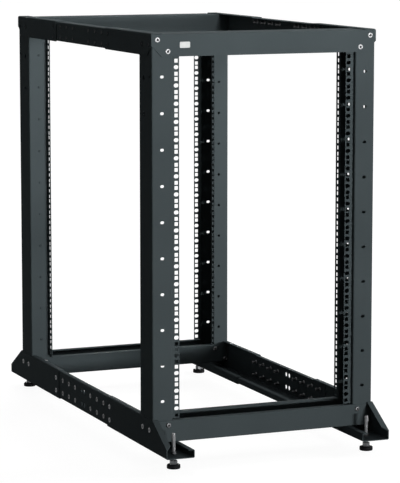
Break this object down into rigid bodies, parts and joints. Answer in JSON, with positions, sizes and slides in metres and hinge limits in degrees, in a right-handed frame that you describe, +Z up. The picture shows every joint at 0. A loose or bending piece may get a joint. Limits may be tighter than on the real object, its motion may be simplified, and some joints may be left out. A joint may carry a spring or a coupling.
{
  "type": "four-post open frame rack",
  "caption": "Open frame equipment rack of folded dark sheet steel: perforated posts, top and bottom beams, telescoping side rails, outriggers on levelling feet.",
  "frame": {"origin": "on the floor under the middle of the rack", "axes": "+X to the right and +Y to the back when facing the front, +Z up"},
  "size_m": [0.604, 1.214, 1.0645],
  "materials": {
    "frame_paint": "fine matt dark grey powder coat",
    "zinc": "bright zinc plating",
    "foot_pad": "black moulded plastic"
  },
  "bodies": {
    "root": {"front_bottom_beam": "frame_paint", "front_left_base_rail": "frame_paint", "front_left_foot_lock_nut": "zinc", "front_left_foot_nut": "zinc", "front_left_foot_pad": "foot_pad", "front_left_foot_stud": "zinc", "front_left_post": "frame_paint", "front_left_top_rail": "frame_paint", "front_right_base_rail": "frame_paint", "front_right_foot_lock_nut": "zinc", "front_right_foot_nut": "zinc", "front_right_foot_pad": "foot_pad", "front_right_foot_stud": "zinc", "front_right_post": "frame_paint", "front_right_top_rail": "frame_paint", "front_top_beam": "frame_paint", "left_base_rail_middle": "frame_paint", "left_top_rail_middle": "frame_paint", "rear_bottom_beam": "frame_paint", "rear_left_base_rail": "frame_paint", "rear_left_foot_lock_nut": "zinc", "rear_left_foot_nut": "zinc", "rear_left_foot_pad": "foot_pad", "rear_left_foot_stud": "zinc", "rear_left_post": "frame_paint", "rear_left_top_rail": "frame_paint", "rear_right_base_rail": "frame_paint", "rear_right_foot_lock_nut": "zinc", "rear_right_foot_nut": "zinc", "rear_right_foot_pad": "foot_pad", "rear_right_foot_stud": "zinc", "rear_right_post": "frame_paint", "rear_right_top_rail": "frame_paint", "rear_top_beam": "frame_paint", "right_base_rail_middle": "frame_paint", "right_top_rail_middle": "frame_paint"}
  },
  "joints": []
}
